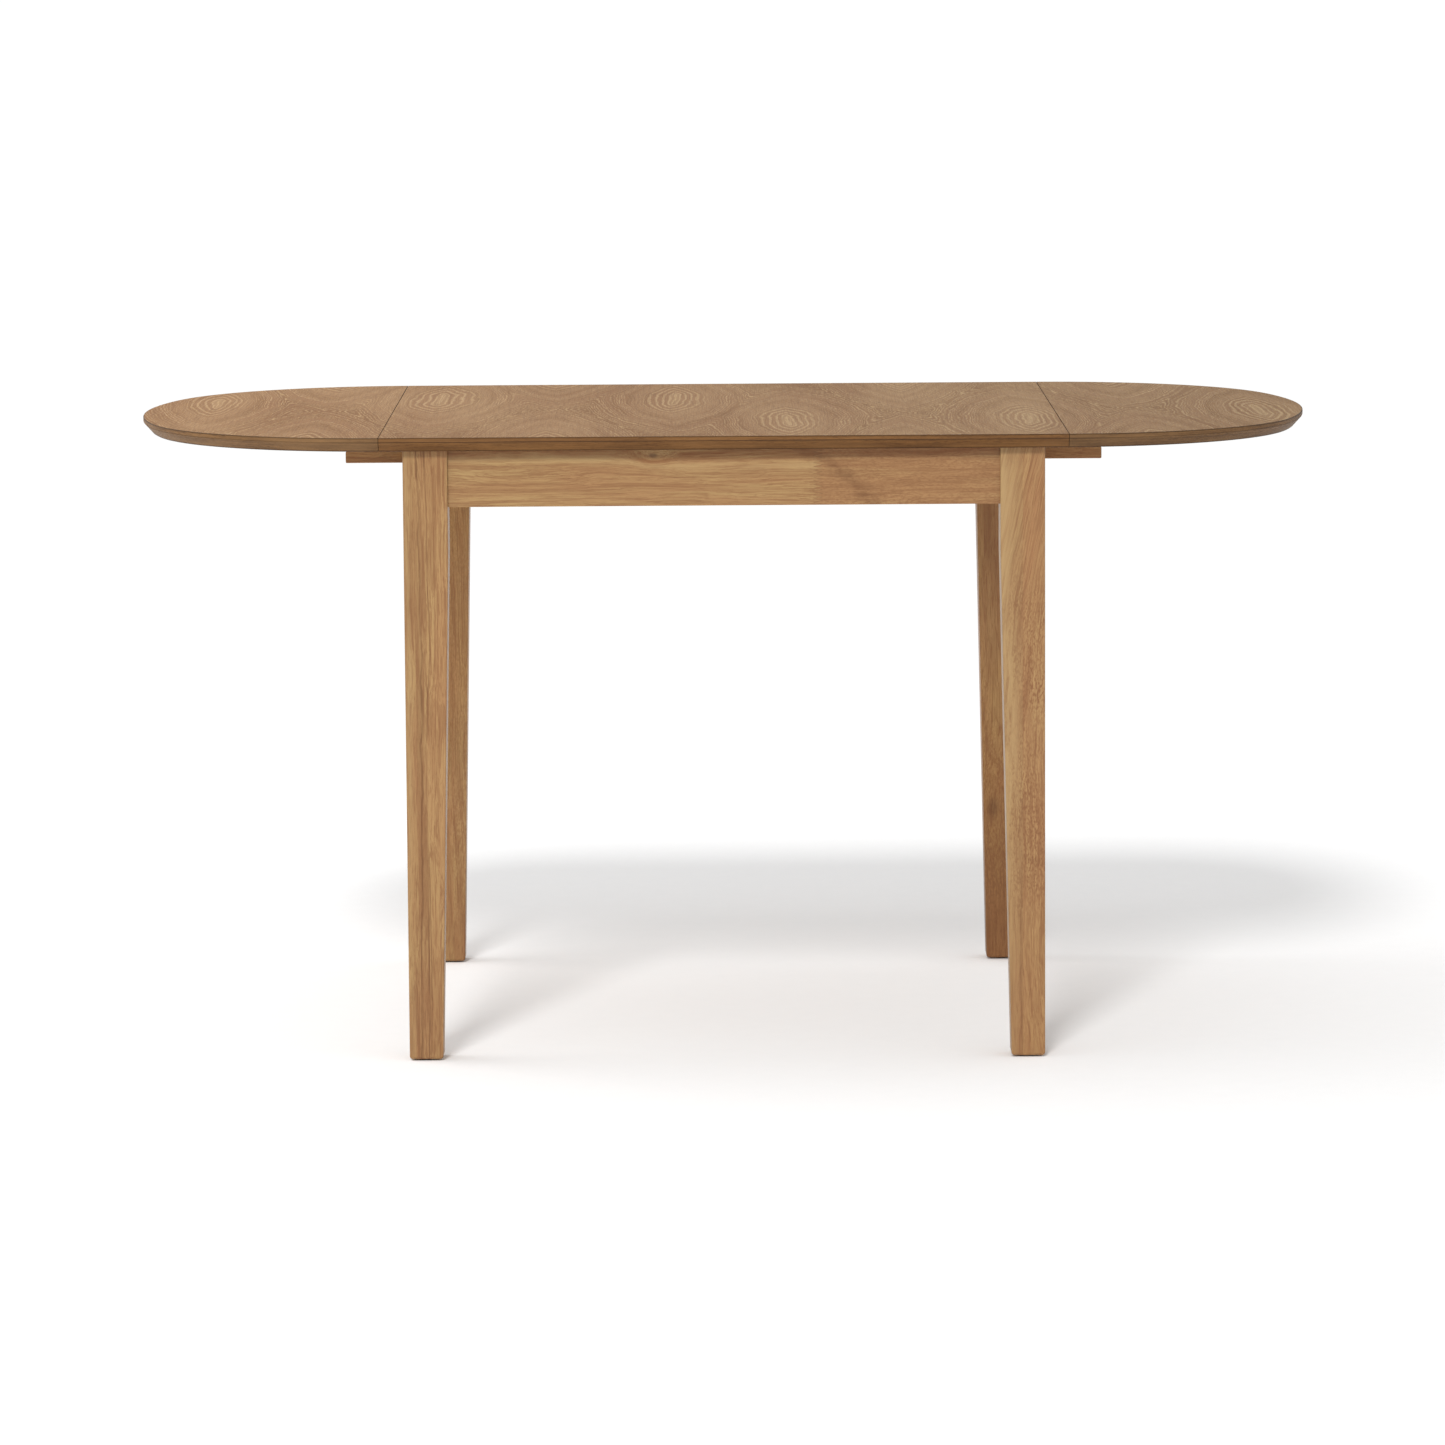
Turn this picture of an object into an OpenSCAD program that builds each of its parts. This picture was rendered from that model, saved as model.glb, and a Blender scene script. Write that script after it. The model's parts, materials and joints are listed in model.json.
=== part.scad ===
// Drop leaf dining table with two half-oval leaves, each held up by a pair of slide-out support bars.
// Millimetres, +Z up, +X along the length, -Y is the front. The origin is on the floor under the centre.
// Drawn with both leaves raised and all support bars pulled out.

/* [Table] */
// Overall height, floor to table top
table_h = 735; // [720:1:760]
// Overall length with both leaves raised
table_len = 1404; // [1392:2:1420]
// Overall width, front edge to rear edge
table_w = 780; // [760:2:800]

/* [Top] */
// Thickness of the veneered boards
top_t = 16.5; // [16:0.5:19]
// Length of the fixed centre board, seam to seam
centre_len = 800; // [796:2:804]
// Radius of the leaf outline beside the seam
leaf_corner_r = 286.5; // [266.5:1:289.5]
// Height of the upright strip along the top of every edge
edge_strip_h = 5.5; // [4:0.5:7]
// How far the lower part of every edge slopes back
edge_slope = 10; // [6:0.5:12]

/* [Legs] */
// Side of the square upper part of a leg
leg_s = 52; // [50:1:54]
// Side of the square foot, where the taper ends
foot_s = 39.5; // [36:0.5:44]
// Height at which the taper of the two inner faces starts
taper_top = 600; // [560:5:630]
// Distance from the seam in to the leg's outer face
leg_inset_x = 27; // [26:1:30]
// Distance from the top's long edge in to the leg's outer face
leg_inset_y = 20; // [18:1:24]
// How far a foot glide stands proud of the foot
glide_h = 1.5; // [1:0.5:3]

/* [Aprons] */
// Height of the four aprons
apron_h = 66.5; // [64:0.5:70]
// Thickness of the four aprons
apron_t = 20; // [18:1:21]
// How far an apron's face sits back from the leg's face
apron_recess = 5; // [4:1:6]

/* [Support bars] */
// Width of a support bar
bar_w = 40; // [34:1:42]
// Height of a support bar
bar_h = 22; // [20:1:24]
// Length of a support bar
bar_len = 320; // [314:2:328]
// Distance from the table's middle line to the bar's middle line
bar_y = 255; // [248:1:256]
// How far a pulled-out bar reaches past the seam
bar_reach = 44; // [40:1:44]
// Length of the bar's travel
bar_travel = 94; // [92:1:96]
// Radius of the rounded nose that slides in under the leaf
nose_r = 115; // [100:1:118]

/* [Hinges] */
// Length of a hinge along the seam
hinge_len = 70; // [60:5:80]
// Width of one hinge flap, from the pin
flap_w = 28; // [24:1:28]
// Thickness of a hinge flap
flap_t = 2; // [1.5:0.1:2.2]
// Radius of the hinge pin
pin_r = 2; // [1.5:0.1:2]
// Distance of the two outer hinges from the middle one
hinge_pitch = 165; // [140:5:170]

/* [Hidden] */
$fn = 48;

// Colours
veneer = "#8a7358";
frame_wood = "#a5845c";
bar_wood = "#8c6844";
block_wood = "#b89a6e";
hinge_steel = "#9a9a94";
screw_steel = "#b5b09c";
glide_plastic = "#3a3632";

// Gaps and fits
seam_gap = 1;       // between the centre board and a leaf
slide_gap = 0.5;    // round a sliding bar
snug = 0.02;        // round a fastener that is held fast
run_fit = 0.06;     // round the hinge pin in a turning knuckle
knuckle_gap = 0.4;  // between neighbouring knuckles

// Heights and faces, worked out from the driving sizes
under_z = table_h - top_t;
half_w = table_w / 2;
seam_x = centre_len / 2;
leaf_x0 = seam_x + seam_gap / 2;
leaf_reach = table_len / 2 - leaf_x0;
leg_x1 = seam_x - leg_inset_x;
leg_x0 = leg_x1 - leg_s;
leg_y1 = half_w - leg_inset_y;
leg_y0 = leg_y1 - leg_s;
apron_z0 = under_z - apron_h;
end_apron_x1 = leg_x1 - apron_recess;
end_apron_x0 = end_apron_x1 - apron_t;
side_apron_y1 = leg_y1 - apron_recess;
side_apron_y0 = side_apron_y1 - apron_t;

// The leaf outline is two corner arcs that leave the long edges at the seam, and one flatter tip arc
// tangent to both. The arcs meet on the line from the tip arc's centre through a corner arc's centre,
// and arc_meet is a point far out on that line. The radius is rounded so that all three solids agree.
corner_cy = half_w - leaf_corner_r;
exact_tip_r = (pow(leaf_reach, 2) + pow(half_w, 2) - 2 * half_w * leaf_corner_r)
    / (2 * (leaf_reach - leaf_corner_r));
tip_r = round(exact_tip_r * 1000) / 1000;
tip_x = leaf_x0 + leaf_reach - tip_r;
arc_meet = [2 * leaf_x0 - tip_x, 2 * corner_cy];
outline_fn = 240;

// Stub tenons of the aprons
tenon_len = 12;
tenon_t = 10;
tenon_shoulder = 9;

// Support bars, their notches and the stop dowels under them
bar_x1 = seam_x + bar_reach;
bar_x0 = bar_x1 - bar_len;
bar_z1 = under_z - slide_gap;
bar_z0 = bar_z1 - bar_h;
notch_z0 = bar_z0 - slide_gap;
dowel_r = 4;
dowel_x = end_apron_x0 - dowel_r - 1;
dowel_hang = 8;
dowel_sunk = 13;

// Cross rails that guide the bars' inner ends
rail_t = 22;
rail_h = 40;
rail_x1 = dowel_x - bar_travel - dowel_r - 2;
rail_x0 = rail_x1 - rail_t;
rail_screw_ys = [-300, -100, 100, 300];
rail_screw_len = 38;
rail_screw_z = under_z - 28.5;

// Corner blocks across the inside of each corner, with a hanger bolt into the leg
block_z0 = apron_z0 + 2;
block_h = 30;
block_gap = 8;      // slack along the diagonal, measured along X, that lets the bolt pull tight
block_t = 28;       // block thickness measured along X
block_out = leg_x0 + leg_y0 - block_gap;
block_in = block_out - block_t;
bolt_z = block_z0 + block_h / 2;
bolt_r = 4;
bolt_in_leg = 38;
block_face = (block_gap + block_t) / sqrt(2);
washer_t = 1.6;
washer_r = 9;
nut_h = 6.5;
nut_r = 7.5;
bolt_past_nut = 4;
block_screw_zs = [bolt_z - 8, bolt_z + 8];
block_screw_in = 16;    // from the block's outer corner, along the apron
block_screw_seat = 8;   // wood left under the head

// Brackets that hold the top down to the aprons: [x, y, turn]
bracket_w = 18;
bracket_leg = 22;
bracket_t = 2;
bracket_hole = 13;
bracket_side_x = 110;
bracket_end_y = 110;
bracket_places = [
    [-bracket_side_x, -side_apron_y0, 90], [bracket_side_x, -side_apron_y0, 90],
    [-bracket_side_x, side_apron_y0, -90], [bracket_side_x, side_apron_y0, -90],
    [end_apron_x0, -bracket_end_y, 180], [end_apron_x0, bracket_end_y, 180],
    [-end_apron_x0, -bracket_end_y, 0], [-end_apron_x0, bracket_end_y, 0]
];

// Hinges under each seam
knuckle_r = 3.5;
pin_drop = knuckle_r + slide_gap;
pin_z = under_z - pin_drop;
knuckles = 5;
knuckle_len = hinge_len / knuckles;
knuckle_clear = 4;      // a flap stays this far from the other flap's knuckles
hinge_ys = [-hinge_pitch, 0, hinge_pitch];
hinge_screw_ys = [-25, 0, 25];
hinge_screw_xs = [19, 12, 19];

// Countersunk wood screws
screw_r = 1.75;
head_r = 3.6;
head_h = head_r - screw_r;
short_screw = 13;
tip_h = 2;

// Glides nailed into the feet
glide_r = 11;
glide_nail_r = 1.25;
glide_nail_len = 16;
foot_cx = leg_x1 - foot_s / 2;
foot_cy = leg_y1 - foot_s / 2;

// ---- helpers ----

// Copies a shape drawn in the +X +Y quarter to the quarter with these signs
module quarter(sx, sy) {
    mirror([sx < 0 ? 1 : 0, 0, 0])
        mirror([0, sy < 0 ? 1 : 0, 0])
            children();
}

module all_quarters() {
    for (sx = [-1, 1])
        for (sy = [-1, 1])
            quarter(sx, sy) children();
}

// A box given by its two corners
module span(low, high) {
    translate(low) cube(high - low);
}

// A wood screw that points along +Z, its head's face at z = 0
module screw(len) {
    cylinder(r1 = head_r, r2 = screw_r, h = head_h);
    translate([0, 0, head_h - 0.01]) cylinder(r = screw_r, h = len - head_h - tip_h + 0.01);
    translate([0, 0, len - tip_h]) cylinder(r1 = screw_r, r2 = 0.5, h = tip_h);
}

// The hole for that screw, with its countersink
module screw_hole(len) {
    translate([0, 0, -1]) cylinder(r = head_r + snug, h = 1);
    cylinder(r1 = head_r + snug, r2 = screw_r + snug, h = head_h);
    cylinder(r = screw_r + snug, h = len + snug);
}

// ---- top ----

// A round board with the table's edge profile
module edged_disc(cx, cy, r) {
    translate([cx, cy, table_h])
        rotate_extrude($fn = outline_fn)
            polygon([
                [0, -top_t], [r - edge_slope, -top_t],
                [r, -edge_strip_h], [r, 0], [0, 0]
            ]);
}

// The part of a shape that lies inside an outline seen from above
module cut_to(outline) {
    intersection() {
        children();
        translate([0, 0, under_z - 1]) linear_extrude(top_t + 2) polygon(outline);
    }
}

module leaf_tip() {
    cut_to([
        [leaf_x0, -corner_cy], [arc_meet.x, -arc_meet.y],
        [arc_meet.x, arc_meet.y], [leaf_x0, corner_cy]
    ])
        edged_disc(tip_x, 0, tip_r);
}

module leaf_corner() {
    cut_to([
        [leaf_x0, corner_cy], [arc_meet.x, arc_meet.y],
        [arc_meet.x, table_w], [leaf_x0, table_w]
    ])
        edged_disc(leaf_x0, corner_cy, leaf_corner_r);
}

// Screw holes in the underside, for the flaps on one side of a seam
module flap_screw_holes(x_sign) {
    for (y = hinge_ys)
        for (i = [0 : len(hinge_screw_ys) - 1])
            translate([
                seam_x + x_sign * hinge_screw_xs[i],
                y + hinge_screw_ys[i],
                under_z - flap_t
            ])
                screw_hole(short_screw);
}

module leaf() {
    difference() {
        union() {
            leaf_tip();
            leaf_corner();
            mirror([0, 1, 0]) leaf_corner();
        }
        flap_screw_holes(1);
    }
}

module centre_board() {
    half = seam_x - seam_gap / 2;
    difference() {
        translate([-half, 0, table_h])
            rotate([90, 0, 90])
                linear_extrude(2 * half)
                    polygon([
                        [-half_w + edge_slope, -top_t], [half_w - edge_slope, -top_t],
                        [half_w, -edge_strip_h], [half_w, 0],
                        [-half_w, 0], [-half_w, -edge_strip_h]
                    ]);
        flap_screw_holes(-1);
        mirror([1, 0, 0]) flap_screw_holes(-1);
        bracket_screws_up() screw_hole(short_screw);
        rail_screws() screw_hole(rail_screw_len);
    }
}

module centre_top() { color(veneer) centre_board(); }
module right_leaf() { color(veneer) leaf(); }
module left_leaf() { color(veneer) mirror([1, 0, 0]) leaf(); }

// ---- legs ----

// The hanger bolt's line: origin on the leg's inner corner, +Z pointing to the table's middle
module bolt_line() {
    translate([leg_x0, leg_y0, bolt_z])
        rotate([0, 0, 225])
            rotate([0, 90, 0])
                children();
}

// One elevation of a leg: upright outer face, inner face tapered below taper_top
module leg_profile(outer) {
    polygon([
        [outer, glide_h], [outer, under_z], [outer - leg_s, under_z],
        [outer - leg_s, taper_top], [outer - foot_s, glide_h]
    ]);
}

module leg() {
    difference() {
        intersection() {
            translate([0, leg_y1, 0]) rotate([90, 0, 0]) linear_extrude(leg_s) leg_profile(leg_x1);
            translate([leg_x0, 0, 0]) rotate([90, 0, 90]) linear_extrude(leg_s) leg_profile(leg_y1);
        }
        side_tenon();
        end_tenon();
        bolt_line()
            translate([0, 0, -bolt_in_leg - snug]) cylinder(r = bolt_r + snug, h = bolt_in_leg + leg_s);
        translate([foot_cx, foot_cy, 0])
            cylinder(r = glide_nail_r + snug, h = glide_nail_len + snug);
    }
}

module front_left_leg() { color(frame_wood) quarter(-1, -1) leg(); }
module front_right_leg() { color(frame_wood) quarter(1, -1) leg(); }
module rear_left_leg() { color(frame_wood) quarter(-1, 1) leg(); }
module rear_right_leg() { color(frame_wood) quarter(1, 1) leg(); }

// ---- aprons ----

tenon_side_y = (side_apron_y0 + side_apron_y1) / 2;
tenon_end_x = (end_apron_x0 + end_apron_x1) / 2;

// Tenon of a long apron into the +X +Y leg
module side_tenon() {
    span(
        [leg_x0, tenon_side_y - tenon_t / 2, apron_z0 + tenon_shoulder],
        [leg_x0 + tenon_len, tenon_side_y + tenon_t / 2, under_z - tenon_shoulder]
    );
}

// Tenon of an end apron into the +X +Y leg
module end_tenon() {
    span(
        [tenon_end_x - tenon_t / 2, leg_y0, apron_z0 + tenon_shoulder],
        [tenon_end_x + tenon_t / 2, leg_y0 + tenon_len, under_z - tenon_shoulder]
    );
}

// The long apron on the +Y side
module side_apron() {
    difference() {
        union() {
            span([-leg_x0, side_apron_y0, apron_z0], [leg_x0, side_apron_y1, under_z]);
            side_tenon();
            mirror([1, 0, 0]) side_tenon();
        }
        all_quarters() block_side_screws() screw_hole(block_screw_len());
        bracket_screws_side() screw_hole(short_screw);
    }
}

// The notch that a support bar slides through, for a wall between two X planes
module bar_notch(x0, x1) {
    span(
        [x0 - 1, bar_y - bar_w / 2 - slide_gap, notch_z0],
        [x1 + 1, bar_y + bar_w / 2 + slide_gap, under_z + 1]
    );
}

// The end apron on the +X side
module end_apron() {
    difference() {
        union() {
            span([end_apron_x0, -leg_y0, apron_z0], [end_apron_x1, leg_y0, under_z]);
            end_tenon();
            mirror([0, 1, 0]) end_tenon();
        }
        for (sy = [-1, 1])
            quarter(1, sy) bar_notch(end_apron_x0, end_apron_x1);
        all_quarters() block_end_screws() screw_hole(block_screw_len());
        bracket_screws_side() screw_hole(short_screw);
    }
}

module rear_apron() { color(frame_wood) side_apron(); }
module front_apron() { color(frame_wood) mirror([0, 1, 0]) side_apron(); }
module right_apron() { color(frame_wood) end_apron(); }
module left_apron() { color(frame_wood) mirror([1, 0, 0]) end_apron(); }

// ---- cross rails ----

module rail_screws() {
    for (sx = [-1, 1])
        for (y = rail_screw_ys)
            translate([sx * (rail_x0 + rail_t / 2), y, rail_screw_z]) children();
}

module cross_rail() {
    difference() {
        span([rail_x0, -side_apron_y0, under_z - rail_h], [rail_x1, side_apron_y0, under_z]);
        for (sy = [-1, 1])
            quarter(1, sy) bar_notch(rail_x0, rail_x1);
        rail_screws() screw_hole(rail_screw_len);
        rail_screws() translate([0, 0, -rail_h]) cylinder(r = head_r + 0.9, h = rail_h);
    }
}

module right_cross_rail() { color(frame_wood) cross_rail(); }
module left_cross_rail() { color(frame_wood) mirror([1, 0, 0]) cross_rail(); }
module cross_rail_screws() { color(screw_steel) rail_screws() screw(rail_screw_len); }

// ---- corner blocks ----

function block_screw_len() = block_screw_seat + 12;

// Lines of the screws from the +X +Y block into the long apron
module block_side_screws() {
    for (z = block_screw_zs)
        translate([block_out - side_apron_y0 - block_screw_in, side_apron_y0 - block_screw_seat, z])
            rotate([-90, 0, 0]) children();
}

// Lines of the screws from the +X +Y block into the end apron
module block_end_screws() {
    for (z = block_screw_zs)
        translate([end_apron_x0 - block_screw_seat, block_out - end_apron_x0 - block_screw_in, z])
            rotate([0, 90, 0]) children();
}

module head_pocket() {
    translate([0, 0, -block_t]) cylinder(r = head_r + 0.9, h = block_t);
}

module corner_block() {
    difference() {
        translate([0, 0, block_z0])
            linear_extrude(block_h)
                polygon([
                    [block_out - side_apron_y0, side_apron_y0],
                    [block_in - side_apron_y0, side_apron_y0],
                    [end_apron_x0, block_in - end_apron_x0],
                    [end_apron_x0, block_out - end_apron_x0]
                ]);
        bolt_line() cylinder(r = bolt_r + slide_gap, h = 2 * block_t);
        block_side_screws() {
            screw_hole(block_screw_len());
            head_pocket();
        }
        block_end_screws() {
            screw_hole(block_screw_len());
            head_pocket();
        }
    }
}

module front_left_corner_block() { color(block_wood) quarter(-1, -1) corner_block(); }
module front_right_corner_block() { color(block_wood) quarter(1, -1) corner_block(); }
module rear_left_corner_block() { color(block_wood) quarter(-1, 1) corner_block(); }
module rear_right_corner_block() { color(block_wood) quarter(1, 1) corner_block(); }

module corner_block_screws() {
    color(screw_steel)
        all_quarters() {
            block_side_screws() screw(block_screw_len());
            block_end_screws() screw(block_screw_len());
        }
}

module hanger_bolts() {
    bolt_len = bolt_in_leg + block_face + washer_t + nut_h + bolt_past_nut;
    color(screw_steel)
        all_quarters()
            bolt_line()
                translate([0, 0, -bolt_in_leg]) cylinder(r = bolt_r, h = bolt_len);
}

module hanger_washers() {
    color(screw_steel)
        all_quarters()
            bolt_line()
                translate([0, 0, block_face])
                    difference() {
                        cylinder(r = washer_r, h = washer_t);
                        translate([0, 0, -1]) cylinder(r = bolt_r + 0.25, h = washer_t + 2);
                    }
}

module hanger_nuts() {
    color(screw_steel)
        all_quarters()
            bolt_line()
                translate([0, 0, block_face + washer_t])
                    difference() {
                        cylinder(r = nut_r, h = nut_h, $fn = 6);
                        translate([0, 0, -1]) cylinder(r = bolt_r + snug, h = nut_h + 2);
                    }
}

// ---- brackets ----

module at_brackets() {
    for (place = bracket_places)
        translate([place.x, place.y, under_z]) rotate([0, 0, place.z]) children();
}

// Lines of the bracket screws up into the top
module bracket_screws_up() {
    at_brackets() translate([bracket_hole, 0, -bracket_t]) children();
}

// Lines of the bracket screws into the aprons
module bracket_screws_side() {
    at_brackets() translate([bracket_t, 0, -bracket_hole]) rotate([0, -90, 0]) children();
}

module top_brackets() {
    color(hinge_steel)
        at_brackets()
            difference() {
                union() {
                    span([0, -bracket_w / 2, -bracket_leg], [bracket_t, bracket_w / 2, 0]);
                    span([0, -bracket_w / 2, -bracket_t], [bracket_leg, bracket_w / 2, 0]);
                }
                translate([bracket_hole, 0, -bracket_t]) screw_hole(short_screw);
                translate([bracket_t, 0, -bracket_hole]) rotate([0, -90, 0]) screw_hole(short_screw);
            }
}

module top_bracket_screws() {
    color(screw_steel) {
        bracket_screws_up() screw(short_screw);
        bracket_screws_side() screw(short_screw);
    }
}

// ---- support bars ----

// The +X +Y bar, its nose rounded down from the seam to its tip
module support_bar() {
    difference() {
        translate([0, bar_y + bar_w / 2, 0])
            rotate([90, 0, 0])
                linear_extrude(bar_w)
                    intersection() {
                        translate([bar_x0, bar_z0]) square([bar_len, bar_h]);
                        union() {
                            translate([bar_x0, bar_z0]) square([seam_x - bar_x0, bar_h]);
                            translate([seam_x, bar_z1 - nose_r]) circle(r = nose_r, $fn = 180);
                        }
                    }
        translate([dowel_x, bar_y, bar_z0 - 1]) cylinder(r = dowel_r + snug, h = dowel_sunk + 1 + snug);
    }
}

module stop_dowel() {
    translate([dowel_x, bar_y, bar_z0 - dowel_hang]) cylinder(r = dowel_r, h = dowel_hang + dowel_sunk);
}

module left_front_bar() { color(bar_wood) quarter(-1, -1) support_bar(); }
module left_rear_bar() { color(bar_wood) quarter(-1, 1) support_bar(); }
module right_front_bar() { color(bar_wood) quarter(1, -1) support_bar(); }
module right_rear_bar() { color(bar_wood) quarter(1, 1) support_bar(); }
module left_front_stop_dowel() { color(block_wood) quarter(-1, -1) stop_dowel(); }
module left_rear_stop_dowel() { color(block_wood) quarter(-1, 1) stop_dowel(); }
module right_front_stop_dowel() { color(block_wood) quarter(1, -1) stop_dowel(); }
module right_rear_stop_dowel() { color(block_wood) quarter(1, 1) stop_dowel(); }

// ---- hinges ----

// Copies a shape drawn round the pin to each hinge of the +X seam
module at_hinges() {
    for (y = hinge_ys)
        translate([seam_x, y, pin_z]) children();
}

// A flap on the +X side of the pin, with the knuckles numbered in mine
module flap(mine, bore_r) {
    plate_z = pin_drop - flap_t;
    difference() {
        union() {
            span([knuckle_clear, -hinge_len / 2, plate_z], [flap_w, hinge_len / 2, pin_drop]);
            for (k = mine) {
                y0 = -hinge_len / 2 + k * knuckle_len + knuckle_gap / 2;
                y1 = y0 + knuckle_len - knuckle_gap;
                span([0, y0, plate_z], [knuckle_clear + 1, y1, pin_drop]);
                translate([0, y1, 0]) rotate([90, 0, 0]) cylinder(r = knuckle_r, h = y1 - y0);
            }
        }
        translate([0, hinge_len, 0]) rotate([90, 0, 0]) cylinder(r = bore_r, h = 2 * hinge_len);
        for (i = [0 : len(hinge_screw_ys) - 1])
            translate([hinge_screw_xs[i], hinge_screw_ys[i], plate_z]) screw_hole(short_screw);
    }
}

module leaf_flaps() {
    at_hinges() flap([1, 3], pin_r + run_fit);
}

module fixed_flaps() {
    at_hinges() mirror([1, 0, 0]) flap([0, 2, 4], pin_r + snug);
}

module pins() {
    rivet_r = pin_r + 0.8;
    rivet_h = 0.8;
    at_hinges()
        translate([0, hinge_len / 2, 0])
            rotate([90, 0, 0]) {
                cylinder(r = pin_r, h = hinge_len);
                translate([0, 0, -rivet_h]) cylinder(r = rivet_r, h = rivet_h + knuckle_gap / 2);
                translate([0, 0, hinge_len - knuckle_gap / 2])
                    cylinder(r = rivet_r, h = rivet_h + knuckle_gap / 2);
            }
}

module flap_screws(x_sign) {
    for (y = hinge_ys)
        for (i = [0 : len(hinge_screw_ys) - 1])
            translate([
                seam_x + x_sign * hinge_screw_xs[i],
                y + hinge_screw_ys[i],
                under_z - flap_t
            ])
                screw(short_screw);
}

module right_hinge_fixed_flaps() { color(hinge_steel) fixed_flaps(); }
module right_hinge_leaf_flaps() { color(hinge_steel) leaf_flaps(); }
module right_hinge_pins() { color(screw_steel) pins(); }
module right_hinge_fixed_screws() { color(screw_steel) flap_screws(-1); }
module right_hinge_leaf_screws() { color(screw_steel) flap_screws(1); }
module left_hinge_fixed_flaps() { color(hinge_steel) mirror([1, 0, 0]) fixed_flaps(); }
module left_hinge_leaf_flaps() { color(hinge_steel) mirror([1, 0, 0]) leaf_flaps(); }
module left_hinge_pins() { color(screw_steel) mirror([1, 0, 0]) pins(); }
module left_hinge_fixed_screws() { color(screw_steel) mirror([1, 0, 0]) flap_screws(-1); }
module left_hinge_leaf_screws() { color(screw_steel) mirror([1, 0, 0]) flap_screws(1); }

// ---- feet ----

module foot_glides() {
    color(glide_plastic)
        all_quarters()
            translate([foot_cx, foot_cy, 0]) {
                cylinder(r = glide_r, h = glide_h);
                cylinder(r = glide_nail_r, h = glide_nail_len);
            }
}

centre_top();
left_leaf();
right_leaf();
front_left_leg();
front_right_leg();
rear_left_leg();
rear_right_leg();
front_apron();
rear_apron();
left_apron();
right_apron();
left_cross_rail();
right_cross_rail();
front_left_corner_block();
front_right_corner_block();
rear_left_corner_block();
rear_right_corner_block();
left_front_bar();
left_rear_bar();
right_front_bar();
right_rear_bar();
left_front_stop_dowel();
left_rear_stop_dowel();
right_front_stop_dowel();
right_rear_stop_dowel();
left_hinge_fixed_flaps();
left_hinge_leaf_flaps();
left_hinge_pins();
right_hinge_fixed_flaps();
right_hinge_leaf_flaps();
right_hinge_pins();
left_hinge_fixed_screws();
left_hinge_leaf_screws();
right_hinge_fixed_screws();
right_hinge_leaf_screws();
hanger_bolts();
hanger_washers();
hanger_nuts();
corner_block_screws();
top_brackets();
top_bracket_screws();
cross_rail_screws();
foot_glides();
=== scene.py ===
"""The looks of the drop leaf table: veneered boards, a solid wood frame and steel hardware.

Everything is in metres in the CAD model's frame: +X along the table, -Y to the front, +Z up.
"""

import json
from math import atan2, cos, pi, radians, sin, tau

import bmesh
import bpy
from mathutils import Matrix, Vector


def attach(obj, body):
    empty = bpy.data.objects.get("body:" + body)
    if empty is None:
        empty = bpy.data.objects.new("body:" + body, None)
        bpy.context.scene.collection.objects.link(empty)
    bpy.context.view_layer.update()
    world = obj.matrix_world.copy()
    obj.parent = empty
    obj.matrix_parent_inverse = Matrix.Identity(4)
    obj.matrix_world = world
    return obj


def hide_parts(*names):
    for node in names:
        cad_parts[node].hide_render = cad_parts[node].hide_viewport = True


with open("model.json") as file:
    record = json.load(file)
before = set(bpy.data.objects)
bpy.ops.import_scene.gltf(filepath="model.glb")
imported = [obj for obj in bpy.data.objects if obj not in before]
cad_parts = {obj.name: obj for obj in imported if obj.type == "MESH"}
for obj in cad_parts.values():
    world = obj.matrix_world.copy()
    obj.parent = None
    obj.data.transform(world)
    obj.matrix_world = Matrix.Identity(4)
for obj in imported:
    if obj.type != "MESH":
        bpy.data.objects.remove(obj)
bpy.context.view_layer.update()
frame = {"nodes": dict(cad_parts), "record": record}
nodes = frame["nodes"]
body_of = {
    node: body
    for body, members in frame["record"]["behaviour"]["bodies"].items()
    for node in members
}
MM = 0.001

# Sizes and places of the CAD model, in metres
TOP_Z = 0.735
UNDER_Z = 0.7185
HALF_WIDTH = 0.390
SEAM_X = 0.400
LEG_X0, LEG_X1 = 0.321, 0.373
LEG_Y0, LEG_Y1 = 0.318, 0.370
LEG_TAPER_TOP = 0.600
APRON_FACE_Y = 0.365
BAR_Y = 0.255
HINGE_YS = (-0.165, 0.0, 0.165)
PIN_Z = 0.7145


# ---- shader graphs ----


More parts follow.
